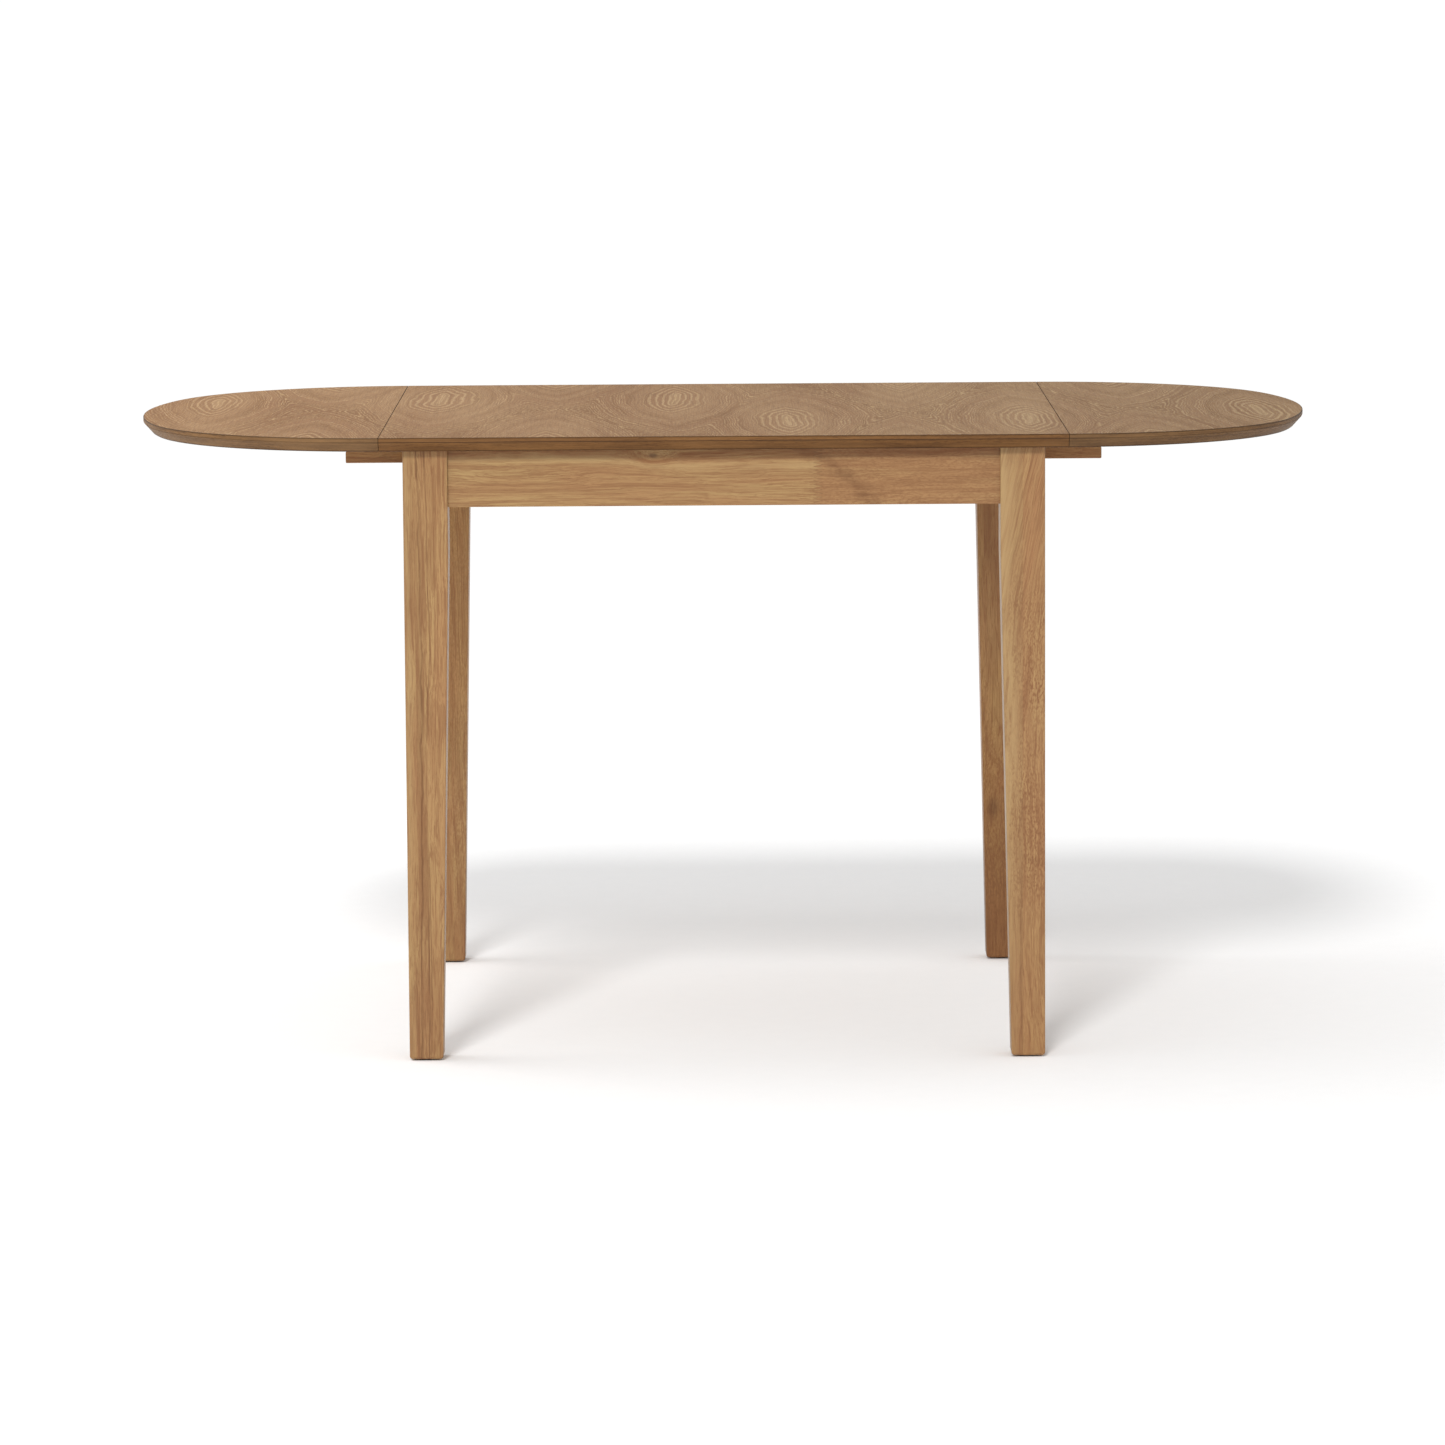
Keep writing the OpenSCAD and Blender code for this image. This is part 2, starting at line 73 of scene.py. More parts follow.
class Graph:
    """A material's node graph, with a short call for each kind of node that it needs."""

    def __init__(self, name):
        self.material = bpy.data.materials.new(name)
        self.material.use_nodes = True
        self.tree = self.material.node_tree
        self.shader = self.tree.nodes["Principled BSDF"]

    def link(self, value, socket):
        """Feeds a socket from another node's output, or sets its number."""
        if isinstance(value, bpy.types.NodeSocket):
            self.tree.links.new(value, socket)
        else:
            socket.default_value = value

    def place(self):
        """The point on the piece at rest, in the CAD model's frame."""
        return self.tree.nodes.new("ShaderNodeTexCoord").outputs["Object"]

    def maths(self, operation, a, b=0.0, c=0.0):
        node = self.tree.nodes.new("ShaderNodeMath")
        node.operation = operation
        for value, socket in zip((a, b, c), node.inputs):
            self.link(value, socket)
        return node.outputs[0]

    def vector(self, operation, a, b=(0, 0, 0)):
        node = self.tree.nodes.new("ShaderNodeVectorMath")
        node.operation = operation
        self.link(a, node.inputs[0])
        self.link(b, node.inputs[1])
        return node.outputs["Value" if operation == "LENGTH" else "Vector"]

    def split(self, vector):
        node = self.tree.nodes.new("ShaderNodeSeparateXYZ")
        self.link(vector, node.inputs[0])
        return node.outputs[0], node.outputs[1], node.outputs[2]

    def join(self, x, y, z):
        node = self.tree.nodes.new("ShaderNodeCombineXYZ")
        for value, socket in zip((x, y, z), node.inputs):
            self.link(value, socket)
        return node.outputs[0]

    def noise(self, place, scale, detail=2.0, roughness=0.5):
        """Noise whose scale is given for each axis, in waves per metre."""
        node = self.tree.nodes.new("ShaderNodeTexNoise")
        self.link(self.vector("MULTIPLY", place, scale), node.inputs["Vector"])
        node.inputs["Scale"].default_value = 1.0
        node.inputs["Detail"].default_value = detail
        node.inputs["Roughness"].default_value = roughness
        return node.outputs["Fac"]

    def random(self, value):
        node = self.tree.nodes.new("ShaderNodeTexWhiteNoise")
        node.noise_dimensions = "1D"
        self.link(value, node.inputs["W"])
        return node.outputs["Value"]

    def remap(self, value, low, high, to_low=0.0, to_high=1.0, smooth=False):
        node = self.tree.nodes.new("ShaderNodeMapRange")
        node.interpolation_type = "SMOOTHSTEP" if smooth else "LINEAR"
        for number, socket in zip((value, low, high, to_low, to_high), node.inputs):
            self.link(number, socket)
        return node.outputs[0]

    def mix(self, share, a, b, blend="MIX"):
        node = self.tree.nodes.new("ShaderNodeMix")
        node.data_type = "RGBA"
        node.blend_type = blend
        self.link(share, node.inputs[0])
        for colour, socket in ((a, node.inputs[6]), (b, node.inputs[7])):
            self.link((*colour, 1) if isinstance(colour, tuple) else colour, socket)
        return node.outputs[2]

    def tinted(self, colour, tint, share=1.0):
        """The colour multiplied by a tint, by the given share."""
        product = self.mix(1.0, colour, tint, "MULTIPLY")
        return product if share == 1.0 else self.mix(share, colour, product)

    def bump(self, height, strength, distance):
        node = self.tree.nodes.new("ShaderNodeBump")
        self.link(height, node.inputs["Height"])
        node.inputs["Strength"].default_value = strength
        node.inputs["Distance"].default_value = distance
        self.link(node.outputs[0], self.shader.inputs["Normal"])

    def finish(self, colour, roughness, **constants):
        self.link(colour, self.shader.inputs["Base Color"])
        self.link(roughness, self.shader.inputs["Roughness"])
        for name, value in constants.items():
            self.shader.inputs[name.replace("_", " ")].default_value = value
        return self.material


def srgb(red, green, blue):
    """A linear colour from screen values of 0 to 255."""
    return tuple(
        (c / 255 / 12.92 if c <= 10 else ((c / 255 + 0.055) / 1.055) ** 2.4)
        for c in (red, green, blue)
    )


# ---- wood ----

# Centres of the figure in the crown-cut veneer:
# (x, y, length of the straight heart, start of the rings)
VENEER_EYES = [
    (-0.625, 0.120, 0.050, 0.000),
    (-0.345, 0.165, 0.070, 0.000),
    (-0.0615, 0.150, 0.070, 0.000),
    (0.078, -0.180, 0.060, 0.000),
    (0.364, -0.175, 0.060, 0.000),
    (0.645, -0.070, 0.060, 0.000),
    (-0.485, 0.420, 0.010, 0.004),
    (-0.485, -0.420, 0.010, 0.006),
    (-0.210, 0.440, 0.010, 0.004),
    (-0.205, -0.420, 0.010, 0.010),
    (0.222, 0.400, 0.010, 0.000),
    (0.212, -0.430, 0.010, 0.026),
    (0.498, 0.420, 0.010, 0.002),
    (0.495, -0.420, 0.010, 0.014),
]
VENEER_STRETCH = 4.2
VENEER_BLEND = 0.016
# The sideways swings of its lines: (noise scale, reach in metres, detail)
VENEER_SWINGS = [
    ((7.0, 1.8, 1.0), 0.034, 1.0),
    ((38.0, 9.0, 1.0), 0.012, 1.0),
    ((170.0, 44.0, 1.0), 0.0046, 2.0),
]
FINE_RING, COARSE_RING = 3.4 * MM, 6.8 * MM
PIN_KNOT = (0.1915, 0.080, TOP_Z)


def veneer_height(graph, place):
    """Height in the veneer's contour map, in metres: nested loops round each eye, long in Y."""
    x, y, _ = graph.split(place)
    for scale, reach, detail in VENEER_SWINGS:
        swing = graph.maths("SUBTRACT", graph.noise(place, scale, detail), 0.5)
        x = graph.maths("MULTIPLY_ADD", swing, reach, x)
    height = None
    for eye_x, eye_y, heart, start in VENEER_EYES:
        along = graph.maths("ABSOLUTE", graph.maths("SUBTRACT", y, eye_y))
        along = graph.maths("MAXIMUM", graph.maths("SUBTRACT", along, heart), 0.0)
        along = graph.maths("DIVIDE", along, VENEER_STRETCH)
        across = graph.maths("ABSOLUTE", graph.maths("SUBTRACT", x, eye_x))
        rounded = graph.vector("LENGTH", graph.join(across, along, 0.0))
        pointed = graph.maths("ADD", across, along)
        distance = graph.maths("MULTIPLY_ADD", rounded, 0.5, start)
        distance = graph.maths("MULTIPLY_ADD", pointed, 0.5, distance)
        if height is None:
            height = distance
        else:
            height = graph.maths("SMOOTH_MIN", height, distance, VENEER_BLEND)
    return height


def contour(graph, height, spacing, width):
    """Thin lines along the contours: 1 on a line, falling to 0 at the given share of the spacing."""
    phase = graph.maths("PINGPONG", graph.maths("DIVIDE", height, spacing), 0.5)
    return graph.remap(phase, 0.0, width, 1.0, 0.0, True)


def along_rings(graph, height, scale, slow, row, detail=1.0):
    """Noise that changes from ring to ring and hardly along them."""
    spot = graph.join(graph.maths("MULTIPLY", height, scale), slow, row)
    return graph.noise(spot, (1.0, 1.0, 1.0), detail)


def veneer(name, base, pale, dark, contrast):
    """Lacquered crown-cut veneer: pale contour lines, fine pores, slow drifts of colour and painted
    shade towards the right end.
    """
    graph = Graph(name)
    place = graph.place()
    height = veneer_height(graph, place)
    slow = graph.noise(place, (5.0, 1.2, 1.0), 2.0)
    swell = along_rings(graph, height, 45.0, slow, 9.0)
    uneven = graph.maths("MULTIPLY_ADD", swell, 0.016, height)
    uneven = graph.maths("MULTIPLY_ADD", slow, 0.020, uneven)
    fine = contour(graph, uneven, FINE_RING, 0.36)
    coarse = contour(graph, uneven, COARSE_RING, 0.34)
    near_eye = graph.remap(height, 0.020, 0.072, 1.0, 0.0, True)
    broken = graph.noise(place, (300.0, 60.0, 1.0), 2.0, 0.6)
    fine = graph.maths("MULTIPLY", fine, graph.remap(broken, 0.34, 0.62, 0.2, 1.0))
    group = along_rings(graph, height, 75.0, slow, 0.0)
    fine = graph.maths("MULTIPLY", fine, graph.remap(group, 0.36, 0.60, 0.30, 1.0, True))
    fine = graph.maths("MULTIPLY", fine, graph.maths("MULTIPLY_ADD", near_eye, -0.7, 1.0))
    coarse = graph.maths("MULTIPLY", coarse, graph.maths("MULTIPLY", near_eye, 0.80))
    lines = graph.maths("MAXIMUM", fine, coarse)
    belt = along_rings(graph, height, 60.0, graph.maths("MULTIPLY", slow, 3.0), 3.0, 2.0)
    belt = graph.remap(belt, 0.42, 0.66, 0.0, 0.38, True)
    between = graph.remap(height, 0.075, 0.125, 0.0, 0.36, True)
    belt = graph.maths("MAXIMUM", belt, between)
    body = graph.mix(belt, base, dark)
    body = graph.mix(graph.remap(height, 0.0, 0.012, 0.42, 0.0, True), body, pale)
    cloud = graph.noise(place, (9.0, 1.6, 1.0), 2.0)
    body = graph.mix(graph.remap(cloud, 0.4, 0.7, 0.0, 0.25), body, pale)
    colour = graph.mix(graph.maths("MULTIPLY", lines, contrast), body, pale)
    hairs = graph.noise(place, (900.0, 16.0, 1.0), 2.0, 0.6)
    colour = graph.mix(graph.remap(hairs, 0.44, 0.70, 0.0, 0.45), colour, dark)
    pore = graph.remap(graph.noise(place, (1900.0, 120.0, 1.0), 2.0, 0.7), 0.57, 0.70, 0.0, 1.0, True)
    colour = graph.mix(graph.maths("MULTIPLY", pore, 0.30), colour, dark)
    spot = graph.vector("MULTIPLY", graph.vector("SUBTRACT", place, PIN_KNOT), (1.0, 0.45, 1.0))
    spot = graph.remap(graph.vector("LENGTH", spot), 0.0007, 0.0026, 0.75, 0.0, True)
    colour = graph.mix(spot, colour, tuple(0.35 * c for c in dark))
    x, _, _ = graph.split(place)
    seam = graph.maths("ABSOLUTE", graph.maths("SUBTRACT", graph.maths("ABSOLUTE", x), SEAM_X))
    seam = graph.remap(seam, 0.4 * MM, 1.2 * MM, 0.34, 0.0, True)
    colour = graph.mix(seam, colour, tuple(0.6 * c for c in dark))
    # Painted shade: the veneer grows darker towards the table's right end, as if lit from the left
    colour = graph.tinted(colour, (0.84, 0.90, 0.93), graph.remap(x, -0.60, 0.70))
    relief = graph.maths("SUBTRACT", graph.maths("MULTIPLY", lines, 0.4), pore)
    graph.bump(relief, 0.20, 0.0002)
    roughness = graph.remap(graph.maths("ADD", pore, belt), 0.0, 1.5, 0.50, 0.64)
    return graph.finish(colour, roughness, Specular_IOR_Level=0.05)


# Heights on the board's edge where it is painted darker: its upper corner, the groove line and the
# lower corner, where the darkening is painted shade
CORNER_FROM, CORNER_TO = 733.10 * MM, 734.30 * MM
GROOVE_Z = 729.60 * MM
FOOT_FROM, FOOT_TO = 719.30 * MM, 720.50 * MM


def banding(name, base, pale, dark):
    """The edge: solid lipping with its grain along the edge, darker at its upper corner and along its
    groove, with painted shade along its lower corner.
    """
    graph = Graph(name)
    place = graph.place()
    wander = graph.maths("SUBTRACT", graph.noise(place, (16.0, 16.0, 30.0), 2.0), 0.5)
    x, y, z = graph.split(place)
    height = graph.maths("MULTIPLY_ADD", wander, 0.004, z)
    bent = graph.join(x, y, height)
    lines = graph.noise(bent, (12.0, 12.0, 520.0), 2.0, 0.6)
    hairs = graph.noise(bent, (110.0, 110.0, 1500.0), 2.0, 0.7)
    drift = graph.noise(place, (9.0, 9.0, 60.0), 2.0)
    colour = graph.mix(graph.remap(lines, 0.35, 0.70, 0.0, 0.8), base, dark)
    colour = graph.mix(graph.remap(hairs, 0.48, 0.66, 0.0, 0.85, True), colour, dark)
    colour = graph.mix(graph.remap(drift, 0.42, 0.70, 0.0, 0.55), colour, pale)
    corner = graph.remap(z, CORNER_FROM, CORNER_TO, 0.0, 0.70, True)
    # Painted shade: a dark line along the lower corner, where the edge turns under the board
    foot = graph.remap(z, FOOT_FROM, FOOT_TO, 0.60, 0.0, True)
    groove = graph.maths("ABSOLUTE", graph.maths("SUBTRACT", z, GROOVE_Z))
    groove = graph.remap(groove, 0.25 * MM, 0.85 * MM, 0.75, 0.0, True)
    out = graph.maths("ABSOLUTE", x)
    groove = graph.maths("MULTIPLY", groove, graph.remap(out, SEAM_X, SEAM_X + 0.07, 1.0, 0.35))
    # Darker upper corner and groove, and painted shade at the lower corner
    dark_lines_and_shade = graph.maths("MAXIMUM", graph.maths("MAXIMUM", corner, foot), groove)
    colour = graph.mix(dark_lines_and_shade, colour, tuple(0.45 * c for c in dark))
    on_leaf = graph.remap(out, SEAM_X - 0.5 * MM, SEAM_X + 0.5 * MM)
    colour = graph.tinted(colour, (1.0, 1.15, 1.45), on_leaf)
    # Painted shade: the edge grows darker towards the table's right end, as if lit from the left
    colour = graph.tinted(colour, (0.84, 0.84, 0.84), graph.remap(x, -0.50, 0.60))
    graph.bump(graph.maths("SUBTRACT", lines, hairs), 0.2, 0.0002)
    return graph.finish(colour, graph.remap(hairs, 0.3, 0.7, 0.50, 0.64), Specular_IOR_Level=0.16)


FINGER_PITCH, FINGER_SLOPE = 2.1 * MM, 5.0


def solid_wood(
    name, grain, pith, tint=(1.0, 1.0, 1.0), lean=None, staves=None, joint=None, knots=(), marks=(),
    mottle=None, painted_light_and_shade=None, seed=0.0, contrast=1.0,
):
    """Solid lacquered hardwood, its grain along one axis.

    pith is the tree's centre on the other two axes.
    lean is (start, curve) of grain that bends sideways.
    staves is (axis, width, start) of glued strips.
    joint is the place of a finger joint along the grain.
    knots are (point, radius, strength).
    marks are soft streaks, each round a plane: (point, normal, half width, strength, tone, drift);
    some of them are painted light and shade.
    mottle is (from, to, strength) of a flecked stretch along the grain.
    The shading tints are (place along the grain, tint), from low to high: painted light and shade
    along the piece, with the colour drifting between them.
    """
    graph = Graph(name)
    place = graph.place()
    axes = graph.split(place)
    along = axes[grain]
    cross = [axes[i] for i in range(3) if i != grain]
    stave = 0.0
    glue = 0.0
    if staves:
        axis, width, start = staves
        steps = graph.maths("DIVIDE", graph.maths("SUBTRACT", axes[axis], start), width)
        stave = graph.maths("FLOOR", steps)
    if joint is not None:
        teeth = graph.maths("PINGPONG", graph.maths("ADD", axes[2], 0.4 * MM), FINGER_PITCH)
        past = graph.maths("SUBTRACT", along, graph.maths("MULTIPLY_ADD", teeth, FINGER_SLOPE, joint))
        stave = graph.maths("GREATER_THAN", past, 0.0)
        glue = graph.remap(graph.maths("ABSOLUTE", past), 0.3 * MM, 1.2 * MM, 0.45, 0.0, True)
    chance = graph.random(graph.maths("ADD", stave, seed + 0.37))
    second = graph.random(graph.maths("ADD", stave, seed + 7.61))
    if lean:
        start, curve = lean
        rise = graph.maths("MAXIMUM", graph.maths("SUBTRACT", along, start), 0.0)
        bend = graph.maths("MULTIPLY", graph.maths("MULTIPLY", rise, rise), curve)
        cross[0] = graph.maths("SUBTRACT", cross[0], bend)
    local = graph.join(
        graph.maths("MULTIPLY_ADD", chance, 0.9, cross[0]),
        graph.maths("MULTIPLY_ADD", second, 0.7, cross[1]),
        graph.maths("MULTIPLY_ADD", chance, 1.7, along),
    )
    local = graph.vector("ADD", local, (seed, 0.0, seed))
    wave = graph.maths("SUBTRACT", graph.noise(local, (16.0, 16.0, 4.5), 1.0), 0.5)
    kink = graph.maths("SUBTRACT", graph.noise(local, (70.0, 70.0, 20.0), 2.0), 0.5)
    sway = graph.maths("MULTIPLY_ADD", wave, 0.020, graph.maths("MULTIPLY", kink, 0.004))
    dark_spot = 0.0
    for knot, reach, strength in knots:
        away = graph.vector("SUBTRACT", place, knot)
        away = graph.vector("MULTIPLY", away, tuple(0.60 if i == grain else 1.0 for i in range(3)))
        distance = graph.vector("LENGTH", away)
        sway = graph.maths("ADD", sway, graph.remap(distance, 0.0, 4.7 * reach, 0.008, 0.0, True))
        spot = graph.remap(distance, 0.18 * reach, reach, strength, 0.0, True)
        dark_spot = graph.maths("MAXIMUM", dark_spot, spot)
    local = graph.vector("ADD", local, graph.join(sway, sway, 0.0))
    swing = graph.maths("MULTIPLY", sway, 1.6)
    offsets = [graph.maths("ADD", graph.maths("SUBTRACT", cross[i], pith[i]), swing) for i in range(2)]
    radius = graph.vector("LENGTH", graph.join(offsets[0], offsets[1], 0.0))
    radius = graph.maths("MULTIPLY_ADD", chance, 0.31, radius)
    rings = graph.noise(
        graph.join(graph.maths("MULTIPLY", radius, 210.0), graph.maths("MULTIPLY", along, 1.6), seed),
        (1.0, 1.0, 1.0), 3.0, 0.62,
    )
    bands = graph.noise(local, (120.0, 120.0, 3.2), 2.0)
    streaks = graph.noise(local, (440.0, 440.0, 7.5), 3.0, 0.62)
    hairs = graph.noise(local, (1300.0, 1300.0, 26.0), 2.0, 0.65)
    cloud = graph.noise(local, (34.0, 34.0, 6.0), 2.0)
    dashes = graph.noise(local, (1500.0, 1500.0, 95.0), 1.0, 0.6)
    dashes = graph.remap(dashes, 0.60, 0.70, 0.0, 1.0, True)

    def toned(red, green, blue):
        return tuple(c * t for c, t in zip(srgb(red, green, blue), tint))

    yellow, red = toned(168, 135, 91), toned(157, 116, 78)
    brown, umber = toned(128, 87, 55), toned(100, 62, 35)
    # The reddish-brown mark tone (116, 66, 30) stands for painted shade
    mark_tones = {"cream": toned(178, 147, 103), "painted_shade": toned(116, 66, 30), "umber": umber}
    warmth = graph.maths("MULTIPLY_ADD", cloud, 0.65, graph.maths("MULTIPLY", bands, 0.35))
    if joint is not None:
        warmth = graph.maths("MULTIPLY_ADD", stave, 0.10, warmth)
    colour = graph.mix(graph.remap(warmth, 0.36, 0.64), yellow, red)
    colour = graph.mix(graph.remap(rings, 0.46, 0.68, 0.0, 0.48 * contrast, True), colour, brown)
    colour = graph.mix(graph.remap(streaks, 0.46, 0.70, 0.0, 0.70 * contrast, True), colour, brown)
    colour = graph.mix(graph.remap(hairs, 0.46, 0.68, 0.0, 0.62 * contrast, True), colour, brown)
    colour = graph.mix(graph.maths("MULTIPLY", dashes, 0.26), colour, umber)
    if mottle:
        low, high, strength = mottle
        fade = 0.08
        scales = graph.noise(local, (620.0, 620.0, 230.0), 1.0)
        flecks = graph.remap(scales, 0.44, 0.66, 0.0, strength)
        patches = graph.noise(local, (45.0, 45.0, 14.0), 2.0)
        for share in (
            graph.remap(along, low, low + fade, 0.0, 1.0, True),
            graph.remap(along, high - fade, high, 1.0, 0.0, True),
            graph.remap(patches, 0.32, 0.52, 0.35, 1.0),
        ):
            flecks = graph.maths("MULTIPLY", flecks, share)
        colour = graph.mix(flecks, colour, brown)
    for point, normal, half, strength, tone, reach in marks:
        away = graph.vector("MULTIPLY", graph.vector("SUBTRACT", place, point), normal)
        x, y, z = graph.split(away)
        drift = graph.maths("SUBTRACT", graph.noise(place, (34.0, 34.0, 34.0), 3.0), 0.5)
        drift = graph.maths("MULTIPLY_ADD", drift, reach, sway)
        off = graph.maths("ADD", graph.maths("ADD", x, y), graph.maths("ADD", z, drift))
        soft = graph.remap(graph.maths("ABSOLUTE", off), 0.0, half, strength, 0.0, True)
        patchy = graph.noise(local, (240.0, 240.0, 14.0), 2.0)
        soft = graph.maths("MULTIPLY", soft, graph.remap(patchy, 0.30, 0.60, 0.3, 1.0))
        if tone == "cream" and joint is not None:
            soft = graph.maths("MULTIPLY", soft, graph.maths("SUBTRACT", 1.0, stave))
        colour = graph.mix(soft, colour, mark_tones[tone])
    colour = graph.mix(graph.maths("MAXIMUM", dark_spot, glue), colour, toned(80, 50, 30))
    if staves or joint is not None:
        grey = graph.remap(second, 0.0, 1.0, 0.93, 1.05)
        if joint is not None:
            grey = graph.maths("MULTIPLY", grey, graph.maths("MULTIPLY_ADD", stave, 0.05, 1.02))
        colour = graph.tinted(colour, graph.join(grey, grey, grey))
    # Painted light and shade along the piece: tints that drift with the place along the grain
    if painted_light_and_shade:
        shade = painted_light_and_shade[0][1]
        for (low, _), (high, upper) in zip(painted_light_and_shade, painted_light_and_shade[1:]):
            shade = graph.mix(graph.remap(along, low, high), shade, upper)
        colour = graph.tinted(colour, shade)
    relief = graph.maths("SUBTRACT", graph.maths("MULTIPLY", streaks, -0.5), dashes)
    graph.bump(relief, 0.22, 0.00022)
    roughness = graph.remap(graph.maths("ADD", streaks, dashes), 0.3, 1.4, 0.36, 0.54)
    return graph.finish(colour, roughness, Specular_IOR_Level=0.30)


# ---- metal and plastic ----


def plated_steel(name, bright, dull, grain_axis=1):
    """Zinc-plated steel with fine drawing lines and dull, slightly stained patches."""
    graph = Graph(name)
    place = graph.place()
    scale = tuple(60.0 if i == grain_axis else 2400.0 for i in range(3))
    lines = graph.noise(place, scale, 2.0, 0.6)
    patches = graph.noise(place, (130.0, 130.0, 130.0), 3.0, 0.6)
    colour = graph.mix(graph.remap(patches, 0.35, 0.7), bright, dull)
    graph.bump(lines, 0.12, 0.0001)
    roughness = graph.remap(graph.maths("MULTIPLY_ADD", lines, 0.4, patches), 0.4, 0.9, 0.26, 0.46)
    return graph.finish(colour, roughness, Metallic=1.0)


def moulded_plastic(name, base, worn):
    graph = Graph(name)
    place = graph.place()
    texture = graph.noise(place, (1400.0, 1400.0, 1400.0), 2.0)
    wear = graph.noise(place, (220.0, 220.0, 220.0), 3.0)
    colour = graph.mix(graph.remap(wear, 0.5, 0.75), base, worn)
    graph.bump(texture, 0.3, 0.0001)
    return graph.finish(colour, graph.remap(wear, 0.3, 0.7, 0.45, 0.7))


top_face = veneer("top_veneer", srgb(144, 104, 67), srgb(190, 156, 114), srgb(111, 77, 46), 0.96)
underside = veneer("backing_veneer", srgb(148, 117, 86), srgb(162, 131, 99), srgb(132, 101, 72), 0.35)
edge_face = banding("edge_banding", srgb(128, 88, 48), srgb(139, 99, 58), srgb(90, 60, 34))
X_GRAIN, Y_GRAIN, Z_GRAIN = 0, 1, 2
ACROSS, UP = (1.0, 0.0, 0.0), (0.0, 0.0, 1.0)
PLAIN = (1.0, 1.0, 1.0)
WIDE_STAVE = 26.0 * MM

MATERIALS = {
    "front_left_leg": solid_wood(
        "leg_front_left", Z_GRAIN, (-0.330, -0.470), staves=(0, 12.6 * MM, -LEG_X1),
        marks=(
            ((-0.3560, -LEG_Y1, 0.0), ACROSS, 1.6 * MM, 0.75, "umber", 0.004),
            ((-0.3475, -LEG_Y1, 0.0), ACROSS, 1.3 * MM, 0.65, "umber", 0.003),
            ((-0.3685, -LEG_Y1, 0.0), ACROSS, 6.0 * MM, 0.45, "cream", 0.003),
        ),
        tint=(1.06, 1.07, 1.02), seed=1.3, contrast=1.20,
        # Painted shade: the foot darker towards the floor
        painted_light_and_shade=((0.05, (0.91, 0.88, 0.87)), (0.32, PLAIN)),
    ),
    "front_right_leg": solid_wood(
        "leg_front_right", Z_GRAIN, (0.420, -0.330), lean=(0.32, 0.34), staves=(0, WIDE_STAVE, LEG_X0),
        mottle=(0.14, 0.60, 0.95),
        marks=(
            ((0.345, -LEG_Y1, 0.235), (0.16, 0.0, 0.99), 6.0 * MM, 0.22, "umber", 0.022),
            # Painted highlight: a pale strip along the leg's left edge, lit from the left
            ((0.324, -LEG_Y1, 0.0), ACROSS, 28.0 * MM, 0.80, "cream", 0.004),
        ),
        # Painted shade: the foot darker towards the floor
        tint=(0.97, 0.96, 0.93), painted_light_and_shade=((0.02, (0.91, 0.85, 0.81)), (0.36, PLAIN)), seed=2.9,
    ),
    # Painted light and shade: the tint lightens the rear leg, and the shading darkens its foot and
    # lightens it about mid-height
    "rear_left_leg": solid_wood(
        "leg_rear_left", Z_GRAIN, (-0.300, 0.230), tint=(1.34, 1.30, 1.17),
        staves=(0, WIDE_STAVE, -LEG_X1), mottle=(0.0, 0.70, 0.4), seed=4.1,
        painted_light_and_shade=(
            (0.03, (0.66, 0.64, 0.64)), (0.10, (0.80, 0.83, 0.86)), (0.21, (0.97, 1.00, 1.06)),
            (0.35, (1.14, 1.18, 1.20)), (0.49, (1.04, 1.05, 1.06)), (0.62, (0.97, 0.96, 0.90)),
        ),
    ),
    # Painted light and shade: the tint lightens the rear leg, and the shading darkens its foot and top
    # and lightens it about mid-height
    "rear_right_leg": solid_wood(
        "leg_rear_right", Z_GRAIN, (0.365, 0.210), tint=(1.22, 1.15, 1.01),
        knots=(((0.3425, 0.3264, 0.196), 11.0 * MM, 0.42),),
        mottle=(0.0, 0.35, 0.5), seed=5.7,
        painted_light_and_shade=(
            (0.04, (0.53, 0.47, 0.40)), (0.13, (0.72, 0.66, 0.60)), (0.24, (1.03, 1.00, 0.95)),
            (0.34, (1.10, 1.12, 1.14)), (0.43, (1.00, 1.00, 1.07)), (0.52, (0.82, 0.79, 0.81)),
        ),
    ),
    "front_apron": solid_wood(
        "apron_front", X_GRAIN, (-0.400, 0.780), tint=(0.98, 1.01, 0.97), joint=0.104,
        mottle=(0.06, 0.42, 0.60), knots=(((-0.082, -APRON_FACE_Y, 0.7105), 4.6 * MM, 0.60),),
        marks=(
            ((0.142, -APRON_FACE_Y, 0.684), (0.62, 0.0, 0.78), 13.0 * MM, 0.55, "umber", 0.022),
            ((0.0, -APRON_FACE_Y, 0.7015), (0.02, 0.0, 1.0), 8.0 * MM, 0.48, "cream", 0.010),
            # Painted shade: a warm dark band on the apron just under the top's overhang
            ((0.0, -APRON_FACE_Y, 0.7150), UP, 8.5 * MM, 0.66, "painted_shade", 0.004),
        ),
        seed=6.2,
    ),
    "rear_apron": solid_wood("apron_rear", X_GRAIN, (0.420, 0.640), joint=-0.064, seed=7.9),
    "left_apron": solid_wood("apron_left", Y_GRAIN, (-0.420, 0.740), seed=8.3),
    "right_apron": solid_wood("apron_right", Y_GRAIN, (0.400, 0.620), seed=9.1),
    "left_cross_rail": solid_wood("cross_rail", Y_GRAIN, (0.280, 0.660), seed=10.4),
    "bar": solid_wood("support_bar", X_GRAIN, (-0.200, 0.640), tint=(1.08, 0.96, 0.82), seed=11.2),
    "block": solid_wood("corner_block", Z_GRAIN, (0.100, 0.150), tint=(1.08, 1.12, 1.16), seed=12.8),
}
MATERIALS["right_cross_rail"] = MATERIALS["left_cross_rail"]
